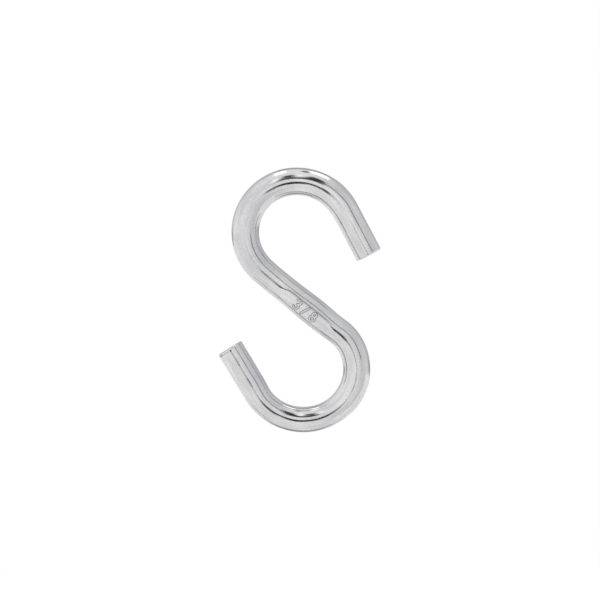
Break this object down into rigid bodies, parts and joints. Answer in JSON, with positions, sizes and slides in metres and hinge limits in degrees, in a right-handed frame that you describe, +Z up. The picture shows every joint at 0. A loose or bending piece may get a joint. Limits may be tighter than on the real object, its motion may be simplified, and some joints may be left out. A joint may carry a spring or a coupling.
{
  "type": "safety chain hook",
  "caption": "Plain S-shaped hook bent from round steel rod with flat sheared ends, stamped flat at mid shank, that joins a trailer's safety chain to the vehicle.",
  "frame": {"origin": "middle of the hook's box, on the rod's mid plane and close to the middle of the shank", "axes": "the S lies in the XZ plane; +Z points up to the upper bowl, +X to the side of the upper leg's tip, and the stamped front faces -Y"},
  "size_m": [0.0574, 0.0096, 0.0939],
  "materials": {
    "zinc_plated_steel": "bright zinc plating over drawn steel rod, satin to glossy"
  },
  "bodies": {
    "root": {"s_hook": "zinc_plated_steel"}
  },
  "joints": []
}
